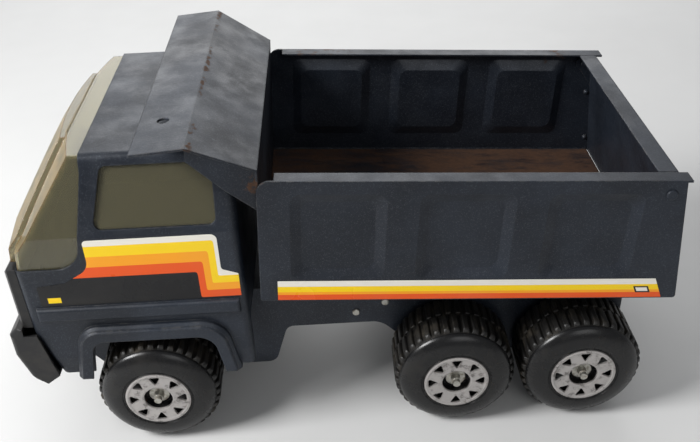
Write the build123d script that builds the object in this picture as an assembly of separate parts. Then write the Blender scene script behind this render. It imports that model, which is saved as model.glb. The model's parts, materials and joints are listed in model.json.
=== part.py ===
from build123d import *
import math
import os

# Toy dump truck: pressed-steel cab and tipping bed on a six-wheel chassis.
# X runs from the bumper to the tailgate, Y across the truck, Z up, and the ground is Z = 0.
# The pieces are drawn with X = 0 at the front axle. They are then moved together, so that
# the middle of the truck's length stands over the origin.

# ---- driving dimensions, in millimetres and degrees ----
STEEL = 1.0             # pressed sheet
PLASTIC = 1.6           # moulded walls
CONTACT = 0.1           # between pieces that sit against each other
MOVING_GAP = 0.5        # between pieces that pass each other
BORE_GAP = 0.06         # radial, a turning piece on its pin
PRESS_GAP = 0.02        # radial, a fixed pin in its hole
HEAD_GAP = 0.05         # under a rivet's head or a push nut

WHEEL_R = 32.0
TYRE_WIDTH = 27.0
TYRE_BULGE = 5.0        # how far the side wall stands out from the tread's edge
WHEEL_GAP = 3.0         # tyre to rail, and between the two rear tyres
HUB_R = 17.0
HUB_PLATE = 1.2
HUB_HOLE_R = 7.4
HUB_WINDOWS = 8
AXLE_R = 2.4
AXLE_PROUD = 1.4        # axle end beyond the hub plate
NUT_R = 5.4
NUT_THICK = 0.8

RAIL_HALF = 47.0        # outside of the chassis rails
WHEELBASE = 156.5       # front axle to middle axle
TYRE_HEADROOM = 10.0    # above the tyres to the chassis deck
RAIL_DEPTH = 27.0       # of the rails between the axles
RAIL_BELOW_AXLE = 10.0

CAB_HALF = 74.5         # at the doors
CAB_ROOF_HALF = 61.0
CAB_NOSE = 57.5         # front axle forward to the cab's face
CAB_TAIL = 52.0         # front axle back to the cab's rear wall
CAB_BELT = 56.0         # deck up to the fold below the door windows
CAB_ROOF = 93.0         # deck up to the roof
CAB_SKIRT = 28.0        # deck down to the cab's lower edge
CAB_EDGE_R = 4.0
CAB_FOOT_SETBACK = 8.5  # cab's lower front edge behind its face
SCREEN_FOOT = 39.0      # deck up to the foot of the windscreen
SCREEN_LEAN = 26.5      # windscreen top behind its foot
SCREEN_KNEE = (2.0, 16.0)  # fold above the windscreen's foot: back from the face, up
SCREEN_BULGE = 8.3      # of the windscreen's middle ahead of its sides
SCREEN_SIDE_LEAN = 38.3  # degrees, of the windscreen's sides
PANEL_RISE = 2.8        # raised middle of the windscreen
PILLAR_FOOT = 31.5      # cab face back to the pillar's front edge
ROOF_SETBACK = 39.0     # cab face back to the steel roof's edge
ARCH_GAP = 6.0          # above the tyre to the wheel arch
ARCH_LEAN = 0.18        # inward lean of the arch's uprights
FLARE_OUT = 4.5
FLARE_HIGH = 8.0
RIB_OUT = 2.4
RIB_HIGH = 8.0

BUMPER_OUT = 11.5       # beyond the cab's face
BUMPER_HIGH = 37.0
BUMPER_DROP = 4.5       # below the cab's lower edge
GRILLE_THICK = 5.2

BED_RIM_LENGTH = 197.5
BED_REAR_LEAN = 9.5     # bed floor's rear end beyond the rim's
BED_HALF = 77.5
BED_HIGH = 68.0
BED_NOSE_UP = 3.4       # degrees, at rest
BED_BEHIND_CAB = 7.0
BED_ABOVE_DECK = 16.0   # at the bed's front edge
BED_CORNER_R = 6.0
RIM_WIDTH = 7.9
PANEL_WIDTH = 45.0
PANEL_PITCH = 60.0
PANEL_FIRST = 37.5      # bed front to the first panel's middle
PANEL_LOW = 13.0
PANEL_DEPTH = 2.4
PANEL_SLOPE = 5.0       # width of a panel's slanted border

CANOPY_HALF = 85.0
CANOPY_RISE = 6.2       # front wall above the rim
CANOPY_BACK_RUN = 29.3
CANOPY_BACK_RISE = 14.7
CANOPY_FRONT_RUN = 24.1
CANOPY_FRONT_DROP = 3.3
CANOPY_HOLE_R = 2.8
GUSSET_FRONT = 7.0
GUSSET_REAR = 22.0

HINGE_FROM_REAR = 22.5  # hinge forward of the bed floor's rear edge
HINGE_BELOW_BED = 9.0
HINGE_ROD_R = 2.4
RAIL_END = 9.0          # rails beyond the hinge
EAR_THICK = 2.0

GATE_PIVOT_DROP = 7.5   # below the rim
GATE_PIVOT_IN = 7.0     # ahead of the bed's rear edge at that height
GATE_PIN_R = 1.6
GATE_FLANGE = 9.0
GATE_EAR_R = 4.4
GATE_INSET = 2.6        # plate's inner face ahead of the bed's rear edge

STICKER = 0.15
STRIPE_HIGH = 11.4

# ---- worked out from the driving dimensions ----
BED_FLOOR_LENGTH = BED_RIM_LENGTH + BED_REAR_LEAN
AXLE_Z = WHEEL_R
DECK_Z = 2 * WHEEL_R + TYRE_HEADROOM
BOGIE_SPACING = 2 * WHEEL_R + WHEEL_GAP
AXLE_X = {"front": 0.0, "middle": WHEELBASE, "rear": WHEELBASE + BOGIE_SPACING}
WHEEL_INNER = RAIL_HALF + WHEEL_GAP
HUB_FACE = WHEEL_INNER + TYRE_WIDTH + TYRE_BULGE
AXLE_END = HUB_FACE + AXLE_PROUD
CAB_FOOT_Z = DECK_Z - CAB_SKIRT
ROOF_Z = DECK_Z + CAB_ROOF
BELT_Z = DECK_Z + CAB_BELT
SCREEN_Z = DECK_Z + SCREEN_FOOT
BED_X = CAB_TAIL + BED_BEHIND_CAB
BED_Z = DECK_Z + BED_ABOVE_DECK
BED_INNER = BED_HALF - STEEL
REAR_SLANT = math.atan2(BED_REAR_LEAN, BED_HIGH)
SIDES = {"left": -1, "right": 1}


# ---- drawing helpers ----
def slab_y(outline, low, high):
    """Extrude an outline drawn in X and Z from Y = low to Y = high."""
    return extrude(Pos(0, high, 0) * (Plane.XZ * outline), amount=high - low)


def slab_x(outline, low, high):
    """Extrude an outline drawn in Y and Z from X = low to X = high."""
    return extrude(Pos(low, 0, 0) * (Plane.YZ * outline), amount=high - low)


def slab_z(outline, low, high):
    """Extrude an outline drawn in X and Y from Z = low to Z = high."""
    return extrude(Pos(0, 0, low) * outline, amount=high - low)


def block(low, high):
    """A box between two opposite corners."""
    size = [b - a for a, b in zip(low, high)]
    return Pos(*low) * Box(*size, align=(Align.MIN, Align.MIN, Align.MIN))


def polygon(points):
    return make_face(Polyline(*points, close=True))


def rounded(points, radii):
    """A closed outline with its own radius at each corner."""
    face = polygon(points)
    for point, radius in zip(points, radii):
        if radius:
            corner = face.vertices().sort_by_distance(Vector(*point))[0]
            face = fillet(corner, radius)
    return face


def rod(x, z, radius, low, high):
    """A round bar along Y."""
    return Pos(x, (low + high) / 2, z) * Rot(90, 0, 0) * Cylinder(radius, high - low)


def lathe(points):
    """Turn an outline of (radius, Y) points about the Y axis."""
    return revolve(polygon(points), Axis.Y)


def both_sides(piece):
    return piece + mirror(piece, Plane.XZ)


def bed_frame():
    """The bed's own frame: X along its floor, Z square to it, origin at its front lower edge."""
    return Pos(BED_X, 0, BED_Z) * Rot(0, BED_NOSE_UP, 0)


def in_bed(x, z):
    """Where a point of the bed's own frame lies in the truck."""
    return (bed_frame() * Pos(x, 0, z)).position


# ---- chassis ----
HINGE = in_bed(BED_FLOOR_LENGTH - HINGE_FROM_REAR, -HINGE_BELOW_BED)
RAIL_TAIL = HINGE.X + RAIL_END
RAIL_LOW = AXLE_Z - RAIL_BELOW_AXLE
DECK_HALF = CAB_HALF - STEEL - CONTACT
DECK_FRONT = -CAB_NOSE + STEEL + CONTACT + 1.0
RAIL_NOSE = -CAB_NOSE + CAB_FOOT_SETBACK + STEEL + 1.5
DECK_BACK = CAB_TAIL - STEEL - CONTACT
BRACE_X = (WHEELBASE - WHEEL_R - 22.0, WHEELBASE - WHEEL_R + 1.0)


def rail_outline():
    """Side view of a rail, deep at the axles and shallow between them."""
    shallow = DECK_Z - RAIL_DEPTH
    front_back = WHEEL_R + 34.0
    rear_front = WHEELBASE - WHEEL_R - 5.0
    points = [
        (RAIL_NOSE, DECK_Z), (RAIL_NOSE, AXLE_Z + 10.0), (RAIL_NOSE + 16.0, RAIL_LOW),
        (front_back - 6.0, RAIL_LOW), (front_back + 2.0, shallow), (rear_front, shallow),
        (rear_front + 24.0, RAIL_LOW), (RAIL_TAIL - 8.0, RAIL_LOW), (RAIL_TAIL, AXLE_Z),
        (RAIL_TAIL, DECK_Z),
    ]
    return rounded(points, [0, 8, 8, 6, 5, 12, 12, 6, 6, 8.0])


def chassis_frame():
    rails = both_sides(slab_y(rail_outline(), -RAIL_HALF, -RAIL_HALF + STEEL))
    top = block((RAIL_NOSE, -RAIL_HALF, DECK_Z - STEEL),
                (HINGE.X - RAIL_END, RAIL_HALF, DECK_Z))
    deck_low, deck_high = (DECK_FRONT, -DECK_HALF), (DECK_BACK, DECK_HALF)
    deck = Rectangle(deck_high[0] - deck_low[0], 2 * DECK_HALF)
    deck = fillet(deck.vertices(), CAB_EDGE_R)
    deck = Pos((deck_low[0] + deck_high[0]) / 2, 0) * deck
    frame = rails + top + slab_z(deck, DECK_Z - STEEL, DECK_Z)
    for x in AXLE_X.values():
        frame -= rod(x, AXLE_Z, AXLE_R + PRESS_GAP, -RAIL_HALF - 1, RAIL_HALF + 1)
    frame -= rod(HINGE.X, HINGE.Z, HINGE_ROD_R + PRESS_GAP, -RAIL_HALF - 1, RAIL_HALF + 1)
    for x, y in cab_rivet_places():
        frame -= Pos(x, y, DECK_Z) * Cylinder(CAB_RIVET_R, 4 * STEEL)
    for x, z in frame_rivet_places():
        frame -= rod(x, z, FRAME_RIVET_R, -RAIL_HALF - 1, RAIL_HALF + 1)
    return frame


FRAME_RIVET_R = 1.5
FRAME_RIVET_HEAD_R = 2.1


def frame_rivet_places():
    low = DECK_Z - RAIL_DEPTH
    return [(BRACE_X[0] + 3.5, low + 7.5), (BRACE_X[1] - 3.5, low + 13.5)]


def frame_crossmember():
    """A channel between the rails, ahead of the rear axles."""
    half = RAIL_HALF - STEEL
    top = DECK_Z - STEEL
    low = DECK_Z - RAIL_DEPTH + 3.0
    inner = half - STEEL
    piece = block((BRACE_X[0], -half, low), (BRACE_X[1], half, top))
    piece -= block((BRACE_X[0] - 1, -inner, low - 1), (BRACE_X[1] + 1, inner, top - STEEL))
    for x, z in frame_rivet_places():
        piece -= rod(x, z, FRAME_RIVET_R, -half - 1, half + 1)
    return piece


def frame_rivets():
    """Four rivets through the rails into the crossmember."""
    inner = RAIL_HALF - 2 * STEEL
    rivets = []
    for x, z in frame_rivet_places():
        shank = rod(x, z, FRAME_RIVET_R - PRESS_GAP, -RAIL_HALF - HEAD_GAP, HEAD_GAP - inner)
        head = Pos(x, -RAIL_HALF - HEAD_GAP, z) * Rot(90, 0, 0) * domed_head(FRAME_RIVET_HEAD_R, 0.9)
        tail = Pos(x, HEAD_GAP - inner, z) * Rot(-90, 0, 0) * domed_head(FRAME_RIVET_HEAD_R, 0.7)
        rivet = shank + head + tail
        rivets += [rivet, mirror(rivet, Plane.XZ)]
    return Compound(children=rivets)


def domed_head(radius, height):
    """A rivet head standing on Z = 0."""
    head = Pos(0, 0, height / 2) * Cylinder(radius, height)
    return fillet(head.faces().sort_by(Axis.Z)[-1].edges(), height * 0.7)


def hinge_rod():
    end = RAIL_HALF + NUT_THICK + 0.7
    return rod(HINGE.X, HINGE.Z, HINGE_ROD_R, -end, end)


def push_nut(hole_r):
    """A sprung disc pushed onto a bar along Z, standing on Z = 0."""
    nut = Cylinder(NUT_R, NUT_THICK, align=(Align.CENTER, Align.CENTER, Align.MIN))
    nut = fillet(nut.faces().sort_by(Axis.Z)[-1].edges(), NUT_THICK * 0.5)
    return nut - Cylinder(hole_r + PRESS_GAP, 4 * NUT_THICK)


def hinge_push_nuts():
    nut = Pos(HINGE.X, -RAIL_HALF - HEAD_GAP, HINGE.Z) * Rot(90, 0, 0) * push_nut(HINGE_ROD_R)
    return Compound(children=[nut, mirror(nut, Plane.XZ)])


def bed_rest():
    """A bent strap on the deck that the front of the bed sits on."""
    half = RAIL_HALF - 9.0
    deep, foot = 14.0, 8.0
    low = DECK_Z + CONTACT
    back = CAB_TAIL + 14.0 + deep
    high = in_bed(back - BED_X, 0).Z - MOVING_GAP
    piece = block((back - deep, -half, low), (back, half, high))
    inside = block((back - deep - 1, -half + STEEL, low - 1), (back + 1, half - STEEL, high - STEEL))
    piece -= inside
    for side in SIDES.values():
        edges = sorted((side * half, side * (half - foot)))
        piece += block((back - deep, edges[0], low), (back, edges[1], low + STEEL))
    return piece


# ---- cab ----
CAB_RIVET_R = 1.4


def cab_side_outline(inset):
    """Side view of the cab's outer skin, drawn inset by a wall."""
    face, tail = -CAB_NOSE + inset, CAB_TAIL - inset
    top = ROOF_Z - inset
    foot = CAB_FOOT_Z
    points = [
        (face + CAB_FOOT_SETBACK, foot), (face + 0.5, DECK_Z), (face, SCREEN_Z),
        (face + SCREEN_KNEE[0], SCREEN_Z + SCREEN_KNEE[1]), (face + SCREEN_LEAN, top),
        (tail, top), (tail, foot),
    ]
    return polygon(points)


def screen_crown(inset):
    """A leaning block whose bulged front bounds the windscreen, moved back by an inset."""
    half = CAB_HALF
    side = -CAB_NOSE + SCREEN_LEAN + SCREEN_BULGE + inset
    side -= math.tan(math.radians(SCREEN_SIDE_LEAN)) * CAB_ROOF
    spread = SCREEN_BULGE * ((half / CAB_ROOF_HALF) ** 2 - 1)
    front = ThreePointArc((side + spread, -half), (side - SCREEN_BULGE, 0), (side + spread, half))
    back = Polyline((side + spread, half), (side + 4 * half, half), (side + 4 * half, -half),
                    (side + spread, -half))
    lean = math.radians(SCREEN_SIDE_LEAN)
    plan = Pos(0, 0, DECK_Z) * make_face(front + back)
    return extrude(plan, amount=1.2 * CAB_ROOF / math.cos(lean), dir=(math.sin(lean), 0, math.cos(lean)))


def cab_front_outline(inset):
    """Front view of the cab's outer skin, drawn inset by a wall."""
    half, roof = CAB_HALF - inset, CAB_ROOF_HALF - inset
    low_half = half - 1.2
    crease = CAB_FOOT_Z + 11.0
    right = [(low_half, CAB_FOOT_Z), (half, crease), (half, BELT_Z), (roof, ROOF_Z - inset)]
    left = [(-y, z) for y, z in reversed(right)]
    return polygon(right + left)


def cab_block(inset):
    """The cab's solid outer shape, inset by a wall, with its edges rounded."""
    body = slab_y(cab_side_outline(inset), -CAB_HALF - 1, CAB_HALF + 1)
    body &= slab_x(cab_front_outline(inset), -CAB_NOSE - 1, CAB_TAIL + 1)
    radius = CAB_EDGE_R - inset
    keep = [e for e in body.edges() if is_cab_corner(e)]
    return fillet(keep, radius)


def is_cab_corner(edge):
    """True for the edges that are rounded: the roof's four and the four upright corners."""
    middle = edge @ 0.5
    if middle.Z < CAB_FOOT_Z + 0.5:
        return False
    along = edge % 0.5
    if abs(along.X) > 0.95:
        return middle.Z > ROOF_Z - CAB_EDGE_R
    if abs(along.Y) > 0.95:
        return middle.Z > ROOF_Z - CAB_EDGE_R
    return True


def cab_hollow(inset):
    """The cab's shape inset by a wall and open at its foot."""
    body = cab_block(inset)
    foot = body.faces().sort_by(Axis.Z)[0]
    return body + extrude(foot, amount=2.0)


def screen_outline():
    """Side view of the opening for the windscreen and its side panes."""
    face = -CAB_NOSE
    points = [
        (face - 30, SCREEN_Z), (face + PILLAR_FOOT, SCREEN_Z),
        (face + ROOF_SETBACK, ROOF_Z - 8), (face + ROOF_SETBACK, ROOF_Z + 20),
        (face - 30, ROOF_Z + 20),
    ]
    return rounded(points, [0, 13, 0, 0, 0])


def door_window_outline(grow=0.0):
    front = -CAB_NOSE + PILLAR_FOOT + 10.5
    back = CAB_TAIL - 10.0
    low, high = BELT_Z + 3.5, ROOF_Z - 5.2
    points = [
        (front - grow, low - grow), (back + grow, low - grow),
        (back + grow, high + grow), (front + 6.5 - grow, high + grow),
    ]
    return rounded(points, [3.5] * 4)


def arch_outline(grow=0.0):
    """Side view of the wheel arch opening, grown outwards."""
    low, high = CAB_FOOT_Z - 10.0, 2 * WHEEL_R + ARCH_GAP + grow
    front, back = -WHEEL_R - 1.2 - grow, WHEEL_R + 7.0 + grow
    lean = (high - low) * ARCH_LEAN
    points = [(front, low), (front + lean, high), (back - lean, high), (back, low)]
    return rounded(points, [0, 7.0 + grow * 0.6, 10.0 + grow * 0.6, 0])


def wheel_flare():
    """The raised lip round the left wheel arch."""
    skin = -CAB_HALF + STEEL
    out = -CAB_HALF - FLARE_OUT
    foot = block((-CAB_NOSE, out - 1, CAB_FOOT_Z), (CAB_TAIL - 1.0, skin + 1, ROOF_Z))
    lip = slab_y(arch_outline(FLARE_HIGH), out, skin) & foot
    edges = [e for e in lip.edges() if abs((e @ 0.5).Y - out) < 0.01 and (e @ 0.5).Z > CAB_FOOT_Z + 1]
    lip = chamfer(edges, 2.5)
    pocket = slab_y(arch_outline(FLARE_HIGH - STEEL - 0.6), out + STEEL, skin + 1)
    return lip - pocket


def side_rib():
    """The raised bar pressed along the left side of the cab."""
    middle = DECK_Z + 12.5
    low, high = -CAB_NOSE + 6.0, CAB_TAIL - 3.5
    bar = block((low, -CAB_HALF - RIB_OUT, middle - RIB_HIGH / 2),
                (high, -CAB_HALF + STEEL, middle + RIB_HIGH / 2))
    outer = [e for e in bar.edges() if abs((e @ 0.5).Y + CAB_HALF + RIB_OUT) < 0.01]
    bar = fillet(outer, RIB_OUT * 0.7)
    groove = block((low + 2, -CAB_HALF, middle - RIB_HIGH / 2 + STEEL),
                   (high - 2, -CAB_HALF + STEEL + 1, middle + RIB_HIGH / 2 - STEEL))
    return bar - groove


def cab_rivet_places():
    front = DECK_FRONT + 6.0
    back = DECK_BACK - 6.0
    y = RAIL_HALF * 0.6
    return [(x, side * y) for x in (front, back) for side in SIDES.values()]


def cab_feet():
    """Inward flanges of the front and rear walls, riveted down to the deck."""
    half = RAIL_HALF * 0.85
    low, high = DECK_Z + CONTACT, DECK_Z + CONTACT + STEEL
    front = block((-CAB_NOSE + STEEL * 0.5, -half, low), (DECK_FRONT + 11.0, half, high))
    back = block((DECK_BACK - 11.0, -half, low), (CAB_TAIL - STEEL * 0.5, half, high))
    return front + back


def cab_shell():
    shell = cab_block(0) - cab_hollow(STEEL)
    shell += both_sides(side_rib()) + both_sides(wheel_flare()) + cab_feet()
    wide = CAB_HALF + FLARE_OUT + 1
    shell -= slab_y(arch_outline(), -wide, wide)
    shell -= slab_y(screen_outline(), -wide, wide)
    shell -= slab_y(door_window_outline(), -wide, wide)
    rear_gap = CAB_HALF - CAB_EDGE_R - 2.0
    shell -= block((CAB_TAIL - 3, -rear_gap, CAB_FOOT_Z - 1), (CAB_TAIL + 1, rear_gap, DECK_Z))
    for y in peg_places():
        shell -= Pos(-CAB_NOSE, y, PEG_Z) * Rot(0, 90, 0) * Cylinder(PEG_R, 12)
    for x, y in cab_rivet_places():
        shell -= Pos(x, y, DECK_Z) * Cylinder(CAB_RIVET_R, 6 * STEEL)
    return shell


def cab_rivets():
    """Four rivets that hold the cab's feet to the deck."""
    low, high = DECK_Z - STEEL - HEAD_GAP, DECK_Z + CONTACT + STEEL + HEAD_GAP
    rivets = []
    for x, y in cab_rivet_places():
        shank = Pos(x, y, (low + high) / 2) * Cylinder(CAB_RIVET_R - PRESS_GAP, high - low)
        top = Pos(x, y, high) * domed_head(2.6, 0.9)
        under = Pos(x, y, low) * Rot(180, 0, 0) * domed_head(2.6, 0.9)
        rivets.append(shank + top + under)
    return Compound(children=rivets)


def window_insert():
    """Clear moulding inside the cab: windscreen, side panes and roof strip in one piece."""
    outer, wall = STEEL + CONTACT, PLASTIC * 0.75
    shell = (cab_block(outer) & screen_crown(0)) - (cab_hollow(outer + wall) & screen_crown(wall))
    low = SCREEN_Z - 6.0
    back = CAB_TAIL - 8.0
    shell &= block((-CAB_NOSE - 1, -CAB_HALF, low), (back, CAB_HALF, ROOF_Z))
    return shell + screen_panel()


def screen_panel():
    """The raised middle of the windscreen."""
    low, high = SCREEN_Z + 1.5, ROOF_Z - 2.2
    wide, narrow = CAB_HALF - 7.0, CAB_ROOF_HALF * 0.62
    knee = SCREEN_Z + SCREEN_KNEE[1]
    front_view = polygon([(-wide, low), (-wide, knee), (-narrow, high),
                          (narrow, high), (wide, knee), (wide, low)])
    panel = slab_y(cab_side_outline(-PANEL_RISE), -wide, wide) & screen_crown(-PANEL_RISE)
    panel &= slab_x(front_view, -CAB_NOSE - 2 * PANEL_RISE, 0)
    buried = STEEL + CONTACT + PLASTIC * 0.3
    return panel - (cab_block(buried) & screen_crown(PLASTIC * 0.3)) - block(
        (-CAB_NOSE + SCREEN_LEAN + 6.0, -CAB_HALF, DECK_Z), (CAB_TAIL, CAB_HALF, ROOF_Z + 10))


# ---- grille and bumper ----
PEG_R = 2.5
PEG_Z = SCREEN_Z - 20.0


def peg_places():
    return [side * CAB_HALF * 0.6 for side in SIDES.values()]


def bumper_outline(inset=0.0):
    """Side view of the bumper moulding."""
    face = -CAB_NOSE
    low = CAB_FOOT_Z - BUMPER_DROP + inset
    high = low + BUMPER_HIGH - 2 * inset
    front = face - BUMPER_OUT + inset
    points = [
        (front + 4.0, low + 7.0), (front, low + 20.0), (front, high - 4.0),
        (front + 4.0, high), (face + 12.0, high), (face + 12.0, low + 8.0), (face + 1.0, low),
    ]
    return polygon(points)


def bumper_return_outline():
    """Side view of what the bumper keeps beside the cab."""
    face = -CAB_NOSE
    low = CAB_FOOT_Z - BUMPER_DROP
    high = low + BUMPER_HIGH
    return polygon([(face - 40, low - 5), (face + 9.0, low - 5), (face + 8.0, low + 5.0),
                    (face + 2.6, high - 4.5), (face - 4.0, high - 4.5), (face - 4.0, high + 5),
                    (face - 40, high + 5)])


def grille_bumper():
    """One black moulding: bumper, grille with its slats, and lamp surrounds."""
    half = CAB_HALF + 1.6
    body = slab_y(bumper_outline(), -half, half) & slab_y(bumper_return_outline(), -half, half)
    upright = [e for e in body.edges() if abs((e % 0.5).Z) > 0.7 and (e @ 0.5).X < -CAB_NOSE - 6]
    body = fillet(upright, 3.0)
    inner = half - PLASTIC
    body -= slab_y(bumper_outline(PLASTIC), -inner, inner)
    high = SCREEN_Z - CONTACT
    low = CAB_FOOT_Z - BUMPER_DROP + BUMPER_HIGH - PLASTIC
    plate = block((-CAB_NOSE - GRILLE_THICK - CONTACT, -CAB_HALF + 2, low),
                  (-CAB_NOSE + 2, CAB_HALF - 2, high))
    edges = [e for e in plate.edges() if (e @ 0.5).X < -CAB_NOSE - 2 and abs((e % 0.5).X) < 0.1]
    plate = chamfer(edges, 1.4)
    body += plate
    body -= slats()
    body -= lamp_pockets()
    body -= cab_block(-CONTACT)
    for y in peg_places():
        body += Pos(-CAB_NOSE, y, PEG_Z) * Rot(0, 90, 0) * Cylinder(PEG_R, 7)
    return body


def slats():
    """Grooves that leave horizontal bars across the middle of the grille."""
    low, high, count = PEG_Z - 11.0, SCREEN_Z - 5.0, 6
    pitch = (high - low) / count
    front = -CAB_NOSE - GRILLE_THICK - CONTACT
    cuts = [block((front - 1, -CAB_HALF * 0.5, low + i * pitch + 1.2),
                  (front + GRILLE_THICK * 0.5, CAB_HALF * 0.5, low + (i + 1) * pitch - 0.4))
            for i in range(count)]
    return Compound(children=cuts)


def lamp_pockets():
    """Shallow pockets that frame two lamps on each side of the grille."""
    low, high = PEG_Z - 9.0, SCREEN_Z - 7.0
    front = -CAB_NOSE - GRILLE_THICK - CONTACT
    cuts = []
    for side in SIDES.values():
        for near in (0.55, 0.755):
            edges = sorted((side * CAB_HALF * near, side * CAB_HALF * (near + 0.175)))
            pocket = block((front - 1, edges[0], low), (front + 1.0, edges[1], high))
            lens = block((front - 2, edges[0] + 1.5, low + 1.5), (front + 2, edges[1] - 1.5, high - 1.5))
            cuts.append(pocket - lens)
    return Compound(children=cuts)


# ---- wheels ----
def wheel(side):
    """A moulded wheel and tyre, drawn on the Y axis at the origin."""
    inner, shoulder, face = WHEEL_INNER, WHEEL_INNER + TYRE_WIDTH, HUB_FACE
    seat = face - HUB_PLATE
    well = face - 5.0
    bore = AXLE_R + BORE_GAP
    boss = inner - WHEEL_GAP + MOVING_GAP
    tread = Line((WHEEL_R, inner + 3.0), (WHEEL_R, shoulder - 1.5))
    edge = (WHEEL_R - 2.0, shoulder + 1.4)
    wall = ThreePointArc(tread @ 1, (WHEEL_R - 0.6, shoulder + 0.5), edge)
    wall += ThreePointArc(edge, (WHEEL_R - 7.0, face - 1.1), (HUB_R + 1.2, face))
    rest = Polyline((HUB_R + 1.2, face), (HUB_R + 0.15, seat), (HUB_R - 1.5, seat),
                    (HUB_R - 1.5, well), (HUB_HOLE_R + 1.0, well), (HUB_HOLE_R + 1.0, seat),
                    (HUB_HOLE_R, seat), (HUB_HOLE_R, shoulder), (bore, shoulder), (bore, boss),
                    (AXLE_R + 3.0, boss), (AXLE_R + 3.0, inner), (WHEEL_R - 3.0, inner),
                    (WHEEL_R, inner + 3.0))
    body = revolve(make_face(tread + wall + rest), Axis.Y)
    return body if side > 0 else mirror(body, Plane.XZ)


def hub_disc(side):
    """The bright plate in the wheel, with its ring of triangular windows."""
    low, high = HUB_FACE - HUB_PLATE, HUB_FACE
    disc = lathe([(HUB_HOLE_R, low), (HUB_R, low), (HUB_R, high), (HUB_R - 1.2, high + 0.3),
                  (HUB_R - 2.0, high), (HUB_HOLE_R + 0.8, high), (HUB_HOLE_R, high - 0.3)])
    near, far, half = HUB_R * 0.55, HUB_R * 0.87, HUB_R * 0.185
    window = rounded([(near, 0), (far, -half), (far, half)], [0.6, 0.8, 0.8])
    window = slab_y(window, low - 1, high + 1)
    for i in range(HUB_WINDOWS):
        disc -= Rot(0, i * 360 / HUB_WINDOWS, 0) * window
    return disc if side > 0 else mirror(disc, Plane.XZ)


def axle(x):
    """A steel bar with a smaller end beyond each push nut."""
    step = AXLE_END - 2.2
    bar = rod(x, AXLE_Z, AXLE_R, -step, step)
    bar += rod(x, AXLE_Z, AXLE_R * 0.8, -AXLE_END, AXLE_END)
    return bar


def axle_push_nuts():
    place = WHEEL_INNER + TYRE_WIDTH + MOVING_GAP
    nuts = []
    for x in AXLE_X.values():
        nut = Pos(x, -place, AXLE_Z) * Rot(90, 0, 0) * push_nut(AXLE_R)
        nuts += [nut, mirror(nut, Plane.XZ)]
    return Compound(children=nuts)


# ---- bed, drawn in its own frame ----
def rear_edge(z):
    """X of the bed's slanted rear edge at a height."""
    return BED_FLOOR_LENGTH - z * math.tan(REAR_SLANT)


def bed_side():
    """The left side with its inward rim and three pressed panels."""
    outline = rounded([(0, 0), (BED_FLOOR_LENGTH, 0), (BED_RIM_LENGTH, BED_HIGH), (0, BED_HIGH)],
                      [1.5, 1.5, 0, BED_CORNER_R])
    side = slab_y(outline, -BED_HALF, -BED_INNER)
    rim = block((BED_CORNER_R + 2.0, -BED_HALF, BED_HIGH - STEEL),
                (BED_RIM_LENGTH + 2.5, -BED_HALF + RIM_WIDTH, BED_HIGH))
    side += rim
    for i in range(3):
        middle = PANEL_FIRST + i * PANEL_PITCH
        side += pressed_panel(middle, STEEL)
        side -= pressed_panel(middle, 0)
    for z in (9.2, 40.9):
        stop = Pos(rear_edge(z) - GATE_INSET - STOP_R - 0.3, -BED_INNER, z) * Sphere(STOP_R)
        side += stop & block((0, -BED_INNER - STEEL / 2, 0), (2 * BED_FLOOR_LENGTH, 0, BED_HIGH))
    x, z = gate_pivot()
    return side - rod(x, z, GATE_PIN_R + PRESS_GAP, -BED_HALF - 1, -BED_INNER + 1)


STOP_R = 1.5


def pressed_panel(middle, wall):
    """A panel pressed into the left side. A wall makes it the inner face of the pressing."""
    low, high = PANEL_LOW, BED_HIGH - 7.0
    outer = panel_face(middle, low, high, wall, -BED_HALF + wall)
    slope = PANEL_SLOPE
    inner = panel_face(middle, low + slope, high - slope, wall - slope,
                       -BED_HALF + PANEL_DEPTH + wall)
    return loft([outer, inner])


def panel_face(middle, low, high, grow, y):
    outline = RectangleRounded(PANEL_WIDTH + 2 * grow, high - low + 2 * min(grow, STEEL) * (grow > 0),
                               PANEL_SLOPE)
    return Pos(middle, y, (low + high) / 2) * (Plane.XZ * outline)


def bed_body():
    """Floor and both sides, folded from one sheet."""
    rear = rear_edge(STEEL) - GATE_INSET - MOVING_GAP
    floor = block((STEEL, -BED_HALF, 0), (rear, BED_HALF, STEEL))
    return floor + both_sides(bed_side())


def canopy_line():
    """Side view of the sheet's outer line: front wall top, ridge, front edge."""
    foot = (0.0, BED_HIGH + CANOPY_RISE)
    ridge = (-CANOPY_BACK_RUN, foot[1] + CANOPY_BACK_RISE)
    edge = (ridge[0] - CANOPY_FRONT_RUN, ridge[1] - CANOPY_FRONT_DROP)
    return foot, ridge, edge


def bed_canopy():
    """The bed's front wall, folded forward over the cab, with its two gussets."""
    foot, ridge, edge = canopy_line()
    drop = STEEL * 1.1
    slope = CANOPY_BACK_RISE / CANOPY_BACK_RUN
    wall_top = foot[1] - drop * 0.7
    wall = block((0, -BED_INNER, 0), (STEEL, BED_INNER, BED_HIGH))
    wall += block((0, -BED_HALF, BED_HIGH), (STEEL, BED_HALF, wall_top))
    strip = polygon([(STEEL, foot[1] - slope * STEEL), ridge, edge, (edge[0], edge[1] - drop),
                     (ridge[0], ridge[1] - drop), (0, foot[1] - drop), (STEEL, foot[1] - drop)])
    roof = slab_y(strip, -CANOPY_HALF, CANOPY_HALF)
    plan = polygon([(STEEL, -BED_HALF), (foot[0], -BED_HALF), (ridge[0], -CANOPY_HALF),
                    (edge[0], -CANOPY_HALF), (edge[0], CANOPY_HALF), (ridge[0], CANOPY_HALF),
                    (foot[0], BED_HALF), (STEEL, BED_HALF)])
    roof &= slab_z(plan, 0, 2 * foot[1])
    hole = Pos((ridge[0] + edge[0]) / 2 - 0.8, -CANOPY_HALF * 0.65, ridge[1])
    roof -= hole * Cylinder(CANOPY_HOLE_R, 4 * CANOPY_FRONT_DROP)
    return wall + roof + both_sides(gusset())


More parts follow.
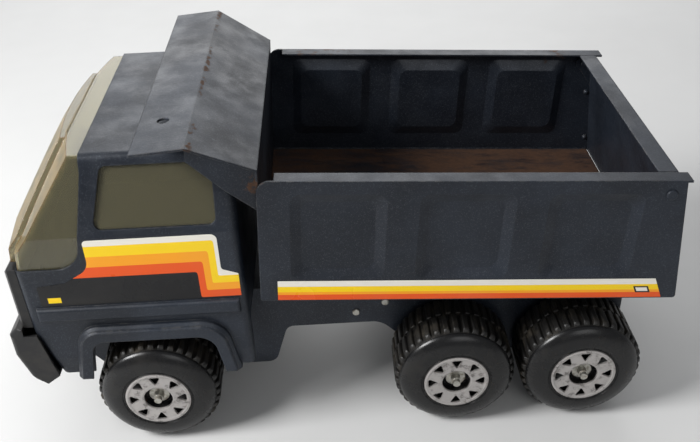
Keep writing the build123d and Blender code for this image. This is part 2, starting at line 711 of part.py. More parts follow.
def gusset():
    """The left upright web under the rear slope of the canopy."""
    foot, ridge, _ = canopy_line()
    start, end = -BED_INNER + CONTACT, -CANOPY_HALF + STEEL
    along = Vector(foot[0] - ridge[0], start - end, 0)
    plane = Plane(origin=(foot[0], start, 0), x_dir=along, z_dir=along.cross(Vector(0, 0, 1)))
    bury = STEEL * 0.8
    outline = polygon([(STEEL, foot[1] - bury), (0, foot[1] - bury), (-along.length, ridge[1] - bury),
                       (-along.length, ridge[1] - GUSSET_FRONT),
                       (-along.length * 0.45, foot[1] - GUSSET_REAR * 0.45),
                       (0, foot[1] - GUSSET_REAR), (STEEL, foot[1] - GUSSET_REAR)])
    web = extrude(plane * outline, amount=STEEL, dir=(0, 1, 0))
    return web & block((-2 * along.length, -2 * CANOPY_HALF, 0), (STEEL, 0, 2 * ridge[1]))


def bed_hinge_bracket():
    """A channel under the floor whose two ears turn on the hinge rod."""
    x = BED_FLOOR_LENGTH - HINGE_FROM_REAR
    half = RAIL_HALF - STEEL - MOVING_GAP
    ear_half = HINGE_ROD_R + 4.0
    base = block((x - 10, -half, -STEEL - CONTACT), (x + 10, half, -CONTACT))
    ear = polygon([(x - 10, -CONTACT), (x - ear_half, -HINGE_BELOW_BED),
                   (x + ear_half, -HINGE_BELOW_BED), (x + 10, -CONTACT)])
    ear = slab_y(ear, -half, -half + EAR_THICK)
    ear += rod(x, -HINGE_BELOW_BED, ear_half, -half, -half + EAR_THICK)
    ear -= rod(x, -HINGE_BELOW_BED, HINGE_ROD_R + BORE_GAP, -half - 1, -half + EAR_THICK + 1)
    return base + both_sides(ear)


# ---- tailgate, drawn in the bed's frame ----
def gate_pivot():
    z = BED_HIGH - GATE_PIVOT_DROP
    return rear_edge(z) - GATE_PIVOT_IN, z


def tailgate():
    """A plate that hangs from two ears at its top corners, with a flange along its top."""
    x, z = gate_pivot()
    half = BED_INNER - MOVING_GAP
    neck = BED_HALF - RIM_WIDTH - MOVING_GAP
    low, high = MOVING_GAP, BED_HIGH
    inner = -GATE_INSET
    plate = polygon([(rear_edge(low) + inner, low), (rear_edge(high) + inner, high),
                     (rear_edge(high) + inner + STEEL, high), (rear_edge(low) + inner + STEEL, low)])
    gate = slab_y(plate, -half, half)
    shoulder = z - GATE_EAR_R
    for side in SIDES.values():
        edges = sorted((side * neck, side * (half + 1)))
        gate -= block((x - 20, edges[0], shoulder), (x + 20, edges[1], high + 1))
    flange_back = rear_edge(high) + inner + STEEL / 2
    gate += block((flange_back - GATE_FLANGE, -neck, high - STEEL), (flange_back, neck, high))
    return gate + both_sides(gate_ear(x, z, half))


def gate_ear(x, z, half):
    """The left ear, folded forward from the plate and bored for its pin."""
    back = rear_edge(z - 12.0) - GATE_INSET + STEEL / 2
    low = z - 16.0
    web = polygon([(x - GATE_EAR_R, z), (x, z + GATE_EAR_R), (x + GATE_EAR_R, z),
                   (back - 1.0, z - GATE_EAR_R), (rear_edge(low) - GATE_INSET + STEEL / 2, low)])
    ear = slab_y(web, -half, -half + STEEL)
    ear += rod(x, z, GATE_EAR_R, -half, -half + STEEL)
    return ear - rod(x, z, GATE_PIN_R + BORE_GAP, -half - 1, -half + STEEL + 1)


def tailgate_pins():
    """Two headed pins fixed in the bed's sides."""
    x, z = gate_pivot()
    tip = BED_INNER - MOVING_GAP - STEEL - 1.2
    pin = rod(x, z, GATE_PIN_R, -BED_HALF - 0.1, -tip)
    pin += Pos(x, -BED_HALF - HEAD_GAP, z) * Rot(90, 0, 0) * domed_head(GATE_PIN_R * 1.7, 0.9)
    return Compound(children=[pin, mirror(pin, Plane.XZ)])


# ---- stickers ----
def bed_stripe(side):
    """The striped band along a side of the bed, in the bed's frame."""
    low = 0.6
    high = low + STRIPE_HIGH
    back = BED_FLOOR_LENGTH - 7.5
    outline = polygon([(8.5, low), (back, low), (back - 5.0, high), (8.5, high)])
    band = slab_y(outline, -BED_HALF - STICKER, -BED_HALF)
    return band if side < 0 else mirror(band, Plane.XZ)


def cab_stripe(side):
    """The printed panel on a side of the cab: a low band with a raised block behind it."""
    low = DECK_Z + 12.5 + RIB_HIGH / 2 + 1.0
    front, back = -CAB_NOSE + 9.0, CAB_TAIL - 2.5
    step = back - 8.0
    rise = -CAB_NOSE + PILLAR_FOOT + 4.5
    points = [
        (front, low), (back, low), (back, low + 14.0), (step, low + 17.0), (step, BELT_Z - 1.0),
        (rise, BELT_Z - 1.0), (rise, low + 21.0), (rise - 13.0, low + 13.5), (front, low + 12.0),
    ]
    band = slab_y(rounded(points, [0.8, 0.8, 0.8, 2.0, 3.0, 2.0, 9.0, 0, 0.8]),
                  -CAB_HALF - STICKER, -CAB_HALF)
    return band if side < 0 else mirror(band, Plane.XZ)


# ---- the truck ----
def truck_pieces():
    """Every piece by name, in place."""
    pieces = {
        "cab_shell": cab_shell(),
        "window_insert": window_insert(),
        "grille_bumper": grille_bumper(),
        "cab_rivets": cab_rivets(),
        "chassis_frame": chassis_frame(),
        "frame_crossmember": frame_crossmember(),
        "frame_rivets": frame_rivets(),
        "bed_rest": bed_rest(),
        "hinge_rod": hinge_rod(),
        "hinge_push_nuts": hinge_push_nuts(),
        "axle_push_nuts": axle_push_nuts(),
        "bed_body": bed_frame() * bed_body(),
        "bed_canopy": bed_frame() * bed_canopy(),
        "bed_hinge_bracket": bed_frame() * bed_hinge_bracket(),
        "tailgate": bed_frame() * tailgate(),
        "tailgate_pins": bed_frame() * tailgate_pins(),
    }
    for row, x in AXLE_X.items():
        pieces[f"{row}_axle"] = axle(x)
        for name, side in SIDES.items():
            pieces[f"wheel_{row}_{name}"] = Pos(x, 0, AXLE_Z) * wheel(side)
            pieces[f"hub_disc_{row}_{name}"] = Pos(x, 0, AXLE_Z) * hub_disc(side)
    for name, side in SIDES.items():
        pieces[f"bed_stripe_{name}"] = bed_frame() * bed_stripe(side)
        pieces[f"cab_stripe_{name}"] = cab_stripe(side)
    return pieces


def middle_of(pieces):
    """X of the middle of the truck's length."""
    boxes = [piece.bounding_box() for piece in pieces.values()]
    return (min(b.min.X for b in boxes) + max(b.max.X for b in boxes)) / 2


PIECES = truck_pieces()
MIDDLE_X = middle_of(PIECES)
os.makedirs("parts", exist_ok=True)
for node, shape in PIECES.items():
    export_step(Pos(-MIDDLE_X, 0, 0) * shape, f"parts/{node}.step")
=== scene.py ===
"""Looks of the toy dump truck: enamel, plastics, tyres, stripes, floor, lights and camera."""

import json
import logging
import math
from collections.abc import Iterable, Sequence
from dataclasses import dataclass, field
from enum import Enum

import bmesh
import bpy
from mathutils import Matrix, Vector


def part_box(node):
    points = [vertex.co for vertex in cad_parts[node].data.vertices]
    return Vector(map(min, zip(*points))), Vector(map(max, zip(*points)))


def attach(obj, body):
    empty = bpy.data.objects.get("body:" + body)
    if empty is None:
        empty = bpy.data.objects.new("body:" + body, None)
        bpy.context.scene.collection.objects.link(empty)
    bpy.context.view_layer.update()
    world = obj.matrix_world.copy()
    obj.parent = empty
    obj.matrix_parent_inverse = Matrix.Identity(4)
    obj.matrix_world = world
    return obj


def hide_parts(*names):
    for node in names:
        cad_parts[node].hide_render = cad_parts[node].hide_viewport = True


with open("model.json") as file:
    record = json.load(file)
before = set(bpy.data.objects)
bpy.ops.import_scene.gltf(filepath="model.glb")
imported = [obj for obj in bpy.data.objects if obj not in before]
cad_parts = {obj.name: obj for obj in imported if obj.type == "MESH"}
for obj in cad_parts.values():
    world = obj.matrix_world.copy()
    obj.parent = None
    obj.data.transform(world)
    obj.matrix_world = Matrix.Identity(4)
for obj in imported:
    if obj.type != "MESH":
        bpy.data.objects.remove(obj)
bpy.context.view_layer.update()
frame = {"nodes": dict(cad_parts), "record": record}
MM = 0.001
LOG = logging.getLogger("dump_truck")

Colour = tuple[float, float, float]
Triple = tuple[float, float, float]


class Slot(Enum):
    """The record's finishes."""

    ENAMEL = "charcoal_enamel"
    WINDOW = "clear_window"
    BLACK = "black_plastic"
    TYRE = "tyre_plastic"
    HUB = "hub_silver"
    ZINC = "zinc_steel"
    BED_STICKER = "bed_sticker"
    CAB_STICKER = "cab_sticker"


class Side(Enum):
    """The truck's two sides, with the sign of Y on each."""

    LEFT = -1
    RIGHT = 1

    @property
    def word(self) -> str:
        """The side's name inside node names."""
        return self.name.lower()


class Row(Enum):
    """The three axles."""

    FRONT = "front"
    MIDDLE = "middle"
    REAR = "rear"


# ---- material building ----
class NodeSketch:
    """Draws one material's node tree, from Object coordinates to one Principled shader."""

    def __init__(self, name: str) -> None:
        """Start an empty material.

        Args:
            name: The material's name.
        """
        self.material = bpy.data.materials.new(name)
        self.material.use_nodes = True
        self.tree = self.material.node_tree
        self.tree.nodes.clear()
        self.shader = self.tree.nodes.new("ShaderNodeBsdfPrincipled")
        output = self.tree.nodes.new("ShaderNodeOutputMaterial")
        self.tree.links.new(self.shader.outputs[0], output.inputs[0])
        self.place = self.node("ShaderNodeTexCoord").outputs["Object"]
        self.facing = self.node("ShaderNodeNewGeometry").outputs["Normal"]

    def node(self, kind: str) -> bpy.types.Node:
        """Add a node of a kind."""
        return self.tree.nodes.new(kind)

    def feed(self, socket: bpy.types.NodeSocket, value: object) -> None:
        """Give a socket a constant or a link.

        Args:
            socket: The input to fill.
            value: Another node's output, or a number or tuple.
        """
        if isinstance(value, bpy.types.NodeSocket):
            self.tree.links.new(value, socket)
        elif isinstance(value, (tuple, list)) and len(value) == 3 and len(socket.default_value) == 4:
            socket.default_value = (*value, 1.0)
        else:
            socket.default_value = value

    def set(self, **inputs: object) -> None:
        """Fill the shader's inputs, named in lower case with underscores."""
        for key, value in inputs.items():
            names = {s.name.lower().replace(" ", "_"): s for s in self.shader.inputs}
            self.feed(names[key], value)

    def math(self, operation: str, a: object, b: object = 0.0, clamp: bool = False) -> bpy.types.NodeSocket:
        """Combine two values.

        Args:
            operation: The Math node's operation.
            a: First value.
            b: Second value.
            clamp: Whether to keep the result between 0 and 1.

        Returns:
            The resulting value.
        """
        node = self.node("ShaderNodeMath")
        node.operation = operation
        node.use_clamp = clamp
        self.feed(node.inputs[0], a)
        self.feed(node.inputs[1], b)
        return node.outputs[0]

    def dot(self, a: object, b: object) -> bpy.types.NodeSocket:
        """The dot product of two vectors."""
        node = self.node("ShaderNodeVectorMath")
        node.operation = "DOT_PRODUCT"
        self.feed(node.inputs[0], a)
        self.feed(node.inputs[1], b)
        return node.outputs["Value"]

    def axis(self, letter: str) -> bpy.types.NodeSocket:
        """One Object coordinate."""
        node = self.node("ShaderNodeSeparateXYZ")
        self.feed(node.inputs[0], self.place)
        return node.outputs[letter]

    def distance(self, centre: Sequence[float], stretch: Triple = (1, 1, 1)) -> bpy.types.NodeSocket:
        """Distance of the surface from a point.

        Args:
            centre: The point, in metres.
            stretch: How much each axis counts.

        Returns:
            The distance in metres.
        """
        shift = self.node("ShaderNodeVectorMath")
        shift.operation = "SUBTRACT"
        self.feed(shift.inputs[0], self.place)
        self.feed(shift.inputs[1], tuple(centre))
        scale = self.node("ShaderNodeVectorMath")
        scale.operation = "MULTIPLY"
        self.feed(scale.inputs[0], shift.outputs[0])
        self.feed(scale.inputs[1], stretch)
        length = self.node("ShaderNodeVectorMath")
        length.operation = "LENGTH"
        self.feed(length.inputs[0], scale.outputs[0])
        return length.outputs["Value"]

    def noise(self, size: float, detail: float = 4.0, roughness: float = 0.55,
              stretch: Triple = (1, 1, 1), shift: Triple = (0, 0, 0)) -> bpy.types.NodeSocket:
        """A noise pattern.

        Args:
            size: Size of its features, in metres.
            detail: Number of finer layers.
            roughness: Strength of the finer layers.
            stretch: Scale along each axis.
            shift: Offset that gives another cut of the pattern.

        Returns:
            A value from 0 to 1.
        """
        mapping = self.node("ShaderNodeMapping")
        self.feed(mapping.inputs["Vector"], self.place)
        mapping.inputs["Location"].default_value = shift
        mapping.inputs["Scale"].default_value = stretch
        node = self.node("ShaderNodeTexNoise")
        self.feed(node.inputs["Vector"], mapping.outputs[0])
        node.inputs["Scale"].default_value = 1.0 / size
        node.inputs["Detail"].default_value = detail
        node.inputs["Roughness"].default_value = roughness
        return node.outputs[0]

    def cells(self, size: float) -> bpy.types.NodeSocket:
        """A random value for each small cell, such as one flake.

        Args:
            size: Size of a cell, in metres.

        Returns:
            A value from 0 to 1.
        """
        node = self.node("ShaderNodeTexVoronoi")
        self.feed(node.inputs["Vector"], self.place)
        node.inputs["Scale"].default_value = 1.0 / size
        return self.dot(node.outputs["Color"], (0.4, 0.3, 0.3))

    def span(self, value: object, low: float, high: float,
             start: float = 0.0, end: float = 1.0, smooth: bool = True) -> bpy.types.NodeSocket:
        """Map a value from one range to another.

        Args:
            value: What is mapped.
            low: Value that becomes start.
            high: Value that becomes end.
            start: Result at low.
            end: Result at high.
            smooth: Whether the ends ease in and out.

        Returns:
            The mapped value.
        """
        node = self.node("ShaderNodeMapRange")
        node.interpolation_type = "SMOOTHSTEP" if smooth else "LINEAR"
        self.feed(node.inputs["Value"], value)
        for key, number in (("From Min", low), ("From Max", high), ("To Min", start), ("To Max", end)):
            node.inputs[key].default_value = number
        return node.outputs["Result"]

    def mix(self, factor: object, a: object, b: object) -> bpy.types.NodeSocket:
        """Blend two colours.

        Args:
            factor: 0 for the first, 1 for the second.
            a: First colour.
            b: Second colour.

        Returns:
            The blended colour.
        """
        node = self.node("ShaderNodeMix")
        node.data_type = "RGBA"
        self.feed(node.inputs[0], factor)
        self.feed(node.inputs[6], a)
        self.feed(node.inputs[7], b)
        return node.outputs[2]

    def blend(self, factor: object, a: object, b: object) -> bpy.types.NodeSocket:
        """Blend two values."""
        node = self.node("ShaderNodeMix")
        node.data_type = "FLOAT"
        self.feed(node.inputs[0], factor)
        self.feed(node.inputs[2], a)
        self.feed(node.inputs[3], b)
        return node.outputs[0]

    def rounded(self, radius: float) -> bpy.types.NodeSocket:
        """Normals as if every edge had this radius, in metres."""
        node = self.node("ShaderNodeBevel")
        node.samples = 4
        node.inputs["Radius"].default_value = radius
        return node.outputs[0]

    def edges(self, radius: float) -> bpy.types.NodeSocket:
        """1 near an edge of the shape and 0 away from it."""
        return self.span(self.dot(self.rounded(radius), self.facing), 0.99, 0.86, 0, 1)

    def bump(self, height: object, depth: float, normal: object = None) -> bpy.types.NodeSocket:
        """Relief from a height pattern.

        Args:
            height: The pattern, from 0 to 1.
            depth: Its depth in metres.
            normal: Normals it is laid over.

        Returns:
            The normal for the shader.
        """
        node = self.node("ShaderNodeBump")
        node.inputs["Strength"].default_value = 1.0
        node.inputs["Distance"].default_value = depth
        self.feed(node.inputs["Height"], height)
        if normal is not None:
            self.feed(node.inputs["Normal"], normal)
        return node.outputs[0]

    def bands(self, value: object, edges: Sequence[float], colours: Sequence[Colour]) -> object:
        """Flat colours one after another along a value.

        Args:
            value: What is banded.
            edges: Where one colour gives way to the next.
            colours: One colour more than there are edges.

        Returns:
            The banded colour.
        """
        result: object = colours[0]
        for edge, colour in zip(edges, colours[1:]):
            result = self.mix(self.span(value, edge - 0.00008, edge + 0.00008), result, colour)
        return result


# ---- finishes ----
@dataclass(frozen=True)
class RustPatch:
    """A place where rust gathers."""

    centre: Triple
    reach: float
    stretch: Triple = (1, 1, 1)


@dataclass(frozen=True)
class Enamel:
    """Metallic charcoal-blue enamel on pressed steel, worn along its edges."""

    name: str = "charcoal_enamel"
    deep: Colour = (0.0095, 0.0125, 0.0190)
    open: Colour = (0.0175, 0.0230, 0.0340)
    flake: Colour = (0.10, 0.112, 0.13)
    worn: Colour = (0.085, 0.082, 0.080)
    rust: Colour = (0.105, 0.046, 0.020)
    dust: Colour = (0.075, 0.073, 0.068)
    edge: float = 0.9 * MM
    chips: float = 0.56
    cloud_size: float = 45.0 * MM
    flake_size: float = 0.34 * MM
    dust_size: float = 16.0 * MM
    dent_size: float = 28.0 * MM
    flake_share: float = 0.30
    dust_share: float = 0.16
    scratch_share: float = 0.4
    chip_share: float = 0.85
    peel_depth: float = 0.055 * MM
    dent_depth: float = 0.55 * MM
    patches: tuple[RustPatch, ...] = ()

    def material(self) -> bpy.types.Material:
        """Build the finish."""
        sketch = NodeSketch(self.name)
        self.lay(sketch)
        return sketch.material

    def lay(self, sketch: NodeSketch) -> None:
        """Draw the enamel's layers.

        Args:
            sketch: The material being drawn.
        """
        cloud = sketch.noise(self.cloud_size, 5)
        colour = sketch.mix(sketch.span(cloud, 0.35, 0.68), self.deep, self.open)
        flakes = sketch.span(sketch.cells(self.flake_size), 0.62, 0.82)
        colour = sketch.mix(sketch.math("MULTIPLY", flakes, self.flake_share), colour, self.flake)
        upward = sketch.span(sketch.dot(sketch.facing, (0, 0, 1)), 0.25, 0.95)
        settled = sketch.math("MULTIPLY", upward,
                              sketch.span(sketch.noise(self.dust_size, 6, 0.65), 0.42, 0.75))
        colour = sketch.mix(sketch.math("MULTIPLY", settled, self.dust_share), colour, self.dust)
        scratches = sketch.noise(0.006, 3, 0.7, (0.25, 1.0, 1.6), (0.3, 0.1, 0.2))
        scratches = sketch.span(scratches, 0.72, 0.77)
        colour = sketch.mix(sketch.math("MULTIPLY", scratches, self.scratch_share), colour, self.flake)
        edges = sketch.edges(self.edge)
        chipped = sketch.span(sketch.noise(0.004, 5, 0.7), self.chips - 0.09, self.chips + 0.05)
        chipped = sketch.math("MULTIPLY", edges, chipped)
        colour = sketch.mix(sketch.math("MULTIPLY", chipped, self.chip_share), colour, self.worn)
        rusted = self.rusted(sketch, edges)
        rust_tone = sketch.mix(sketch.noise(0.0022, 3), self.rust, tuple(c * 0.4 for c in self.rust))
        colour = sketch.mix(rusted, colour, rust_tone)
        rough = sketch.blend(sketch.span(sketch.noise(0.02, 5, 0.6, shift=(0.4, 0, 0)), 0.3, 0.7), 0.34, 0.52)
        rough = sketch.blend(settled, rough, 0.60)
        rough = sketch.blend(rusted, rough, 0.85)
        metal = sketch.blend(rusted, 0.35, 0.0)
        peel = sketch.math("ADD", sketch.noise(1.3 * MM, 2), sketch.math("MULTIPLY", rusted, 0.6))
        dents = sketch.bump(sketch.noise(self.dent_size, 2), self.dent_depth,
                            sketch.rounded(self.edge))
        sketch.set(base_color=colour, roughness=rough, metallic=metal, specular_ior_level=0.5,
                   normal=sketch.bump(peel, self.peel_depth, dents))

    def rusted(self, sketch: NodeSketch, edges: object) -> bpy.types.NodeSocket:
        """Where the steel has rusted through.

        Args:
            sketch: The material being drawn.
            edges: Edge mask of the shape.

        Returns:
            A mask from 0 to 1.
        """
        speckle = sketch.noise(0.0055, 6, 0.72, shift=(0.7, 0.2, 0.5))
        mask = sketch.math("MULTIPLY", edges, sketch.span(speckle, 0.63, 0.70))
        mask = sketch.math("MULTIPLY", mask, 0.7)
        for patch in self.patches:
            near = sketch.span(sketch.distance(patch.centre, patch.stretch), patch.reach, patch.reach * 0.15)
            spots = sketch.span(sketch.math("ADD", speckle, sketch.math("MULTIPLY", near, 0.12)), 0.60, 0.70)
            mask = sketch.math("MAXIMUM", mask, sketch.math("MULTIPLY", near, spots))
        return mask


@dataclass(frozen=True)
class LoadedBedEnamel(Enamel):
    """The bed's enamel, with its floor scraped and rusted by loads."""

    floor_point: Triple = (0, 0, 0)
    floor_axis: Triple = (0, 0, 1)
    inside: float = 76.0 * MM

    def rusted(self, sketch: NodeSketch, edges: object) -> bpy.types.NodeSocket:
        """Add the floor and the lower walls to the rusted places."""
        mask = super().rusted(sketch, edges)
        away = sketch.math("SUBTRACT", sketch.dot(sketch.place, self.floor_axis),
                           Vector(self.floor_point).dot(Vector(self.floor_axis)))
        across = sketch.math("ABSOLUTE", sketch.axis("Y"))
        within = sketch.span(across, self.inside + 0.3 * MM, self.inside - 1.2 * MM)
        floor = sketch.math("MULTIPLY", sketch.span(away, -0.5 * MM, -0.2 * MM),
                            sketch.span(away, 0.018, 0.0))
        floor = sketch.math("MULTIPLY", floor, within)
        streaks = sketch.noise(0.007, 7, 0.72, (0.35, 1.0, 1.0), (0.1, 0.9, 0.3))
        blotch = sketch.noise(0.035, 5, 0.6, shift=(0.2, 0.6, 0.1))
        amount = sketch.math("ADD", sketch.math("MULTIPLY", streaks, 0.6),
                             sketch.math("MULTIPLY", blotch, 0.4))
        amount = sketch.math("ADD", amount, sketch.math("MULTIPLY", floor, 0.12))
        patch = sketch.math("MULTIPLY", floor, sketch.span(amount, 0.44, 0.70, 0.10, 0.90))
        return sketch.math("MAXIMUM", mask, patch)


@dataclass(frozen=True)
class ClearPlastic:
    """Clear window plastic, yellowed and hazy with age, with a pale painted reflection on its forward-facing
    panes.
    """

    name: str = "yellowed_window"
    clear: Colour = (0.40, 0.37, 0.23)
    amber: Colour = (0.64, 0.26, 0.030)
    # Pale tone of the forward-facing panes: partly haze, partly painted reflection.
    front_haze_and_reflection: Colour = (0.90, 0.70, 0.38)

    def material(self) -> bpy.types.Material:
        """Build the finish."""
        sketch = NodeSketch(self.name)
        # Forward-facing panes are painted pale: partly haze, partly a painted reflection of the light they
        # catch at a grazing angle.
        forward = sketch.span(sketch.dot(sketch.facing, (-1, 0, 0.15)), 0.45, 0.85)
        edges = sketch.edges(1.6 * MM)
        cloud = sketch.noise(0.022, 5, 0.6)
        colour = sketch.mix(sketch.math("MULTIPLY", forward, sketch.span(cloud, 0.3, 0.6)),
                            self.clear, self.front_haze_and_reflection)
        colour = sketch.mix(sketch.math("MULTIPLY", edges, 0.8), colour, self.amber)
        rough = sketch.blend(forward, 0.06, 0.34)
        rough = sketch.math("ADD", rough, sketch.span(sketch.noise(0.004, 5, 0.7), 0.58, 0.8, 0.0, 0.15))
        relief = sketch.bump(sketch.noise(0.02, 2), 0.08 * MM, sketch.rounded(0.6 * MM))
        sketch.set(base_color=colour, roughness=rough, transmission_weight=0.86, ior=1.47, normal=relief)
        return sketch.material


@dataclass(frozen=True)
class MouldedPlastic:
    """Satin or glossy moulded plastic with dust in its texture."""

    name: str
    base: Colour = (0.0075, 0.0075, 0.0085)
    dust: Colour = (0.050, 0.045, 0.037)
    gloss: float = 0.34
    dusty: float = 0.5
    grain: float = 0.03 * MM

    def material(self) -> bpy.types.Material:
        """Build the finish."""
        sketch = NodeSketch(self.name)
        cloud = sketch.noise(0.012, 6, 0.7)
        settled = sketch.math("MULTIPLY", sketch.span(cloud, 0.44, 0.72), self.dusty)
        colour = sketch.mix(settled, self.base, self.dust)
        wear = sketch.math("MULTIPLY", sketch.edges(0.6 * MM),
                           sketch.span(sketch.noise(0.005, 4), 0.45, 0.65))
        colour = sketch.mix(sketch.math("MULTIPLY", wear, 0.3), colour, (0.10, 0.096, 0.092))
        rough = sketch.blend(settled, self.gloss, 0.75)
        relief = sketch.math("ADD", sketch.noise(0.7 * MM, 2), sketch.math("MULTIPLY", cloud, 0.5))
        sketch.set(base_color=colour, roughness=rough, specular_ior_level=0.36,
                   normal=sketch.bump(relief, self.grain, sketch.rounded(0.5 * MM)))
        return sketch.material


@dataclass(frozen=True)
class WornSilver:
    """Silver paint on the hub discs, rubbed and grimy."""

    name: str = "worn_silver"
    silver: Colour = (0.50, 0.475, 0.46)
    grime: Colour = (0.055, 0.045, 0.04)

    def material(self) -> bpy.types.Material:
        """Build the finish."""
        sketch = NodeSketch(self.name)
        grime = sketch.span(sketch.noise(0.0045, 7, 0.75), 0.50, 0.66)
        edges = sketch.edges(0.7 * MM)
        grime = sketch.math("MAXIMUM", sketch.math("MULTIPLY", grime, 0.75),
                            sketch.math("MULTIPLY", edges, 0.65))
        colour = sketch.mix(sketch.noise(0.018, 3), self.silver, tuple(c * 0.72 for c in self.silver))
        colour = sketch.mix(grime, colour, self.grime)
        rough = sketch.blend(grime, 0.36, 0.8)
        sketch.set(base_color=colour, roughness=rough, metallic=sketch.blend(grime, 0.55, 0.0),
                   normal=sketch.bump(grime, 0.05 * MM, sketch.rounded(0.35 * MM)))
        return sketch.material


@dataclass(frozen=True)
class DullZinc:
    """Zinc-plated steel of axles, push nuts and rivets."""

    name: str = "dull_zinc"
    bright: Colour = (0.46, 0.45, 0.41)
    stain: Colour = (0.17, 0.13, 0.08)

    def material(self) -> bpy.types.Material:
        """Build the finish."""
        sketch = NodeSketch(self.name)
        stain = sketch.span(sketch.noise(0.003, 6, 0.7), 0.46, 0.68)
        colour = sketch.mix(sketch.math("MULTIPLY", stain, 0.8), self.bright, self.stain)
        brushed = sketch.noise(0.7 * MM, 3, 0.6, (1, 0.2, 1))
        rough = sketch.blend(stain, sketch.span(brushed, 0.3, 0.7, 0.28, 0.42), 0.7)
        sketch.set(base_color=colour, roughness=rough, metallic=sketch.blend(stain, 0.95, 0.5),
                   normal=sketch.bump(brushed, 0.02 * MM, sketch.rounded(0.3 * MM)))
        return sketch.material


@dataclass(frozen=True)
class StripePalette:
    """Inks of the printed stripes, from the outermost inwards."""

    cream: Colour = (0.80, 0.77, 0.69)
    yellow: Colour = (0.92, 0.62, 0.004)
    amber: Colour = (0.90, 0.345, 0.010)
    red: Colour = (0.76, 0.088, 0.008)
    black: Colour = (0.005, 0.005, 0.006)


@dataclass(frozen=True)
class PrintedVinyl:
    """A printed sticker: glossy, scuffed and a little faded."""

    name: str
    palette: StripePalette = field(default_factory=StripePalette)

    def press(self, sketch: NodeSketch, print_colour: object) -> bpy.types.Material:
        """Add scuffs and gloss over the print.

        Args:
            sketch: The material being drawn.
            print_colour: The printed pattern.

        Returns:
            The finished material.
        """
        scuffs = sketch.span(sketch.noise(0.0035, 7, 0.78, (0.5, 1, 1)), 0.66, 0.74)
        fade = sketch.noise(0.04, 4)
        colour = sketch.mix(sketch.span(fade, 0.3, 0.8, 0.0, 0.05), print_colour, (0.40, 0.36, 0.30))
        colour = sketch.mix(sketch.math("MULTIPLY", scuffs, 0.45), colour, (0.10, 0.085, 0.07))
        rough = sketch.blend(scuffs, sketch.span(fade, 0.3, 0.7, 0.26, 0.38), 0.65)
        sketch.set(base_color=colour, roughness=rough, specular_ior_level=0.3,
                   normal=sketch.bump(sketch.noise(1.3 * MM, 2), 0.03 * MM))
        return sketch.material


@dataclass(frozen=True)
class BedBand(PrintedVinyl):
    """The band along the bed, with a small slanted marker near its rear end."""

    origin: Triple = (0, 0, 0)
    up: Triple = (0, 0, 1)
    along: Triple = (1, 0, 0)
    low: float = 0.0
    high: float = 0.0
    back: float = 0.0

    def material(self) -> bpy.types.Material:
        """Build the finish."""
        sketch = NodeSketch(self.name)
        ink = self.palette
        base = Vector(self.origin)
        height = sketch.math("SUBTRACT", sketch.dot(sketch.place, self.up), base.dot(Vector(self.up)))
        run = sketch.math("SUBTRACT", sketch.dot(sketch.place, self.along), base.dot(Vector(self.along)))
        tall = self.high - self.low
        edges = [self.low + tall * share for share in (0.28, 0.42, 0.71)]
        colour = sketch.bands(height, edges, (ink.red, ink.amber, ink.yellow, ink.cream))
        slanted = sketch.math("ADD", run, sketch.math("MULTIPLY", height, 0.45))
        outer = self.box(sketch, slanted, height, self.back - 12.5 * MM, self.back - 5.0 * MM,
                         self.low + tall * 0.26, self.low + tall * 0.60)
        inner = self.box(sketch, slanted, height, self.back - 11.6 * MM, self.back - 5.9 * MM,
                         self.low + tall * 0.33, self.low + tall * 0.53)
        colour = sketch.mix(outer, colour, ink.black)
        return self.press(sketch, sketch.mix(inner, colour, ink.cream))

    @staticmethod
    def box(sketch: NodeSketch, x: object, z: object, west: float, east: float,
            south: float, north: float) -> bpy.types.NodeSocket:
        """1 inside a rectangle of two values.

        Args:
            sketch: The material being drawn.
            x: First value.
            z: Second value.
            west: Lowest first value.
            east: Highest first value.
            south: Lowest second value.
            north: Highest second value.

        Returns:
            The mask.
        """
        blur = 0.06 * MM
        sides = [sketch.span(x, west - blur, west + blur), sketch.span(x, east + blur, east - blur),
                 sketch.span(z, south - blur, south + blur), sketch.span(z, north + blur, north - blur)]
        mask = sides[0]
        for side in sides[1:]:
            mask = sketch.math("MULTIPLY", mask, side)
        return mask


@dataclass(frozen=True)
class CabPanel(PrintedVinyl):
    """The cab's panel: bands that step down behind the door and run to the rear."""

    top: float = 0.0
    step: float = 0.0
    shelf: float = 0.0
    front: float = 0.0
    low: float = 0.0
    widths: tuple[float, ...] = (3.3 * MM, 6.0 * MM, 6.0 * MM, 6.0 * MM)
    narrow_upright: float = 1.85
    narrow_shelf: float = 1.42

    def material(self) -> bpy.types.Material:
        """Build the finish."""
        sketch = NodeSketch(self.name)
        ink = self.palette
        x, z = sketch.axis("X"), sketch.axis("Z")
        from_top = sketch.math("SUBTRACT", self.top, z)
        from_step = sketch.math("MULTIPLY", sketch.math("SUBTRACT", self.step, x), self.narrow_upright)
        from_shelf = sketch.math("MULTIPLY", sketch.math("SUBTRACT", self.shelf, z), self.narrow_shelf)
        turn = sketch.node("ShaderNodeMath")
        turn.operation = "SMOOTH_MAX"
        sketch.feed(turn.inputs[0], from_step)
        sketch.feed(turn.inputs[1], from_shelf)
        turn.inputs[2].default_value = 2.5 * MM
        bend = sketch.node("ShaderNodeMath")
        bend.operation = "SMOOTH_MIN"
        sketch.feed(bend.inputs[0], from_top)
        sketch.feed(bend.inputs[1], turn.outputs[0])
        bend.inputs[2].default_value = 3.5 * MM
        edges = [sum(self.widths[:i + 1]) for i in range(len(self.widths))]
        colour = sketch.bands(bend.outputs[0], edges, (ink.cream, ink.yellow, ink.amber, ink.red, ink.black))
        marker = BedBand.box(sketch, x, z, self.front + 3.8 * MM, self.front + 10.2 * MM,
                             self.low + 1.8 * MM, self.low + 5.0 * MM)
        return self.press(sketch, sketch.mix(marker, colour, ink.yellow))


